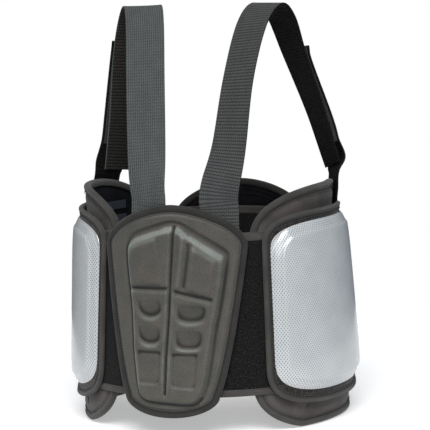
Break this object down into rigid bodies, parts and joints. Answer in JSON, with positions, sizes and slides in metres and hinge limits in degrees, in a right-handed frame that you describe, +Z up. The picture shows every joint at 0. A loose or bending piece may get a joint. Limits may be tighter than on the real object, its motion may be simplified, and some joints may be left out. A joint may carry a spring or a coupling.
{
  "type": "back protector",
  "caption": "Wrap-around back and rib protector with a moulded back plate, a front plate, hard rib shells on padded panels and webbing shoulder straps gripped by front tabs.",
  "frame": {"origin": "on the floor under the middle of the body, level with the side panels' lower edges", "axes": "+Z up, -Y towards the wearer's back, +X towards the wearer's right"},
  "size_m": [0.3484, 0.3164, 0.4835],
  "materials": {
    "loop_fabric": "brushed loop",
    "hook_tape": "hook tape",
    "binding_tape": "ribbed tape",
    "webbing": "ribbed webbing",
    "dark_webbing": "ribbed webbing",
    "ribbed_loop": "ribbed loop",
    "stiff_board": "matt",
    "moulded_foam": "matt moulded",
    "rib_shell": "woven gloss",
    "soft_foam": "matt",
    "carrier_cloth": "knitted",
    "panel_cloth": "smooth knit"
  },
  "bodies": {
    "back": {"back_belt": "loop_fabric", "back_belt_tapes": "binding_tape", "left_strap_anchor": "dark_webbing", "right_strap_anchor": "dark_webbing"},
    "back_plate": {"back_plate_hook": "hook_tape", "back_plate_board": "stiff_board", "back_plate_core": "soft_foam", "back_plate_cover": "moulded_foam", "back_plate_binding": "binding_tape"},
    "front": {"front_belt": "loop_fabric", "front_belt_tapes": "binding_tape", "front_plate_hook": "hook_tape", "front_plate_board": "stiff_board", "front_plate_core": "soft_foam", "front_plate_cover": "moulded_foam", "front_plate_binding": "binding_tape", "front_closure_hook": "hook_tape"},
    "side_left": {"left_belt": "loop_fabric", "left_belt_tapes": "binding_tape", "left_panel_lining": "panel_cloth", "left_panel_foam": "soft_foam", "left_panel_cover": "panel_cloth", "left_panel_binding": "binding_tape", "left_tab_anchor": "dark_webbing"},
    "rib_left": {"left_carrier_hook": "hook_tape", "left_carrier": "carrier_cloth", "left_carrier_binding": "binding_tape", "left_shell_foam": "soft_foam", "left_rib_shell": "rib_shell"},
    "strap_left": {"left_shoulder_strap": "webbing", "left_strap_hook": "hook_tape"},
    "tab_left": {"left_front_tab": "dark_webbing", "left_tab_loop": "ribbed_loop"},
    "side_right": {"right_belt": "loop_fabric", "right_belt_tapes": "binding_tape", "right_panel_lining": "panel_cloth", "right_panel_foam": "soft_foam", "right_panel_cover": "panel_cloth", "right_panel_binding": "binding_tape", "right_tab_anchor": "dark_webbing", "right_closure_loop": "loop_fabric"},
    "rib_right": {"right_carrier_hook": "hook_tape", "right_carrier": "carrier_cloth", "right_carrier_binding": "binding_tape", "right_shell_foam": "soft_foam", "right_rib_shell": "rib_shell"},
    "strap_right": {"right_shoulder_strap": "webbing", "right_strap_hook": "hook_tape"},
    "tab_right": {"right_front_tab": "dark_webbing", "right_tab_loop": "ribbed_loop"}
  },
  "joints": [
    {"name": "back_plate_height", "type": "slide", "parent": "back", "child": "back_plate", "axis": [-0.0021, -0.1385, -0.9904], "range_m": [0, 0.015]},
    {"name": "side_left_open", "type": "hinge", "parent": "back", "child": "side_left", "pos_m": [-0.09637, -0.10855, 0.152], "axis": [0.0324, 0.1097, 0.9934], "range_deg": [0, 40]},
    {"name": "side_right_open", "type": "hinge", "parent": "back", "child": "side_right", "pos_m": [0.09637, -0.10855, 0.152], "axis": [0.0324, -0.1097, -0.9934], "range_deg": [0, 40]},
    {"name": "front_open", "type": "hinge", "parent": "side_left", "child": "front", "pos_m": [-0.09744, 0.10195, 0.152], "axis": [0.0321, -0.1081, 0.9936], "range_deg": [0, 100]},
    {"name": "rib_left_height", "type": "slide", "parent": "side_left", "child": "rib_left", "axis": [0.0493, 0.0211, 0.9986], "range_m": [0, 0.01]},
    {"name": "rib_right_height", "type": "slide", "parent": "side_right", "child": "rib_right", "axis": [-0.0493, 0.0211, 0.9986], "range_m": [0, 0.01]},
    {"name": "strap_left_swing", "type": "hinge", "parent": "back", "child": "strap_left", "pos_m": [-0.03543, -0.10988, 0.2662], "axis": [0.9838, -0.1792, 0], "range_deg": [0, 60]},
    {"name": "strap_right_swing", "type": "hinge", "parent": "back", "child": "strap_right", "pos_m": [0.04871, -0.10697, 0.2662], "axis": [0.9685, 0.2491, 0], "range_deg": [0, 60]},
    {"name": "tab_left_peel", "type": "hinge", "parent": "side_left", "child": "tab_left", "pos_m": [-0.13961, 0.03574, 0.2762], "axis": [-0.4218, -0.9067, 0], "range_deg": [0, 100]},
    {"name": "tab_right_peel", "type": "hinge", "parent": "side_right", "child": "tab_right", "pos_m": [0.13961, 0.03574, 0.2762], "axis": [-0.4218, 0.9067, 0], "range_deg": [0, 100]}
  ]
}
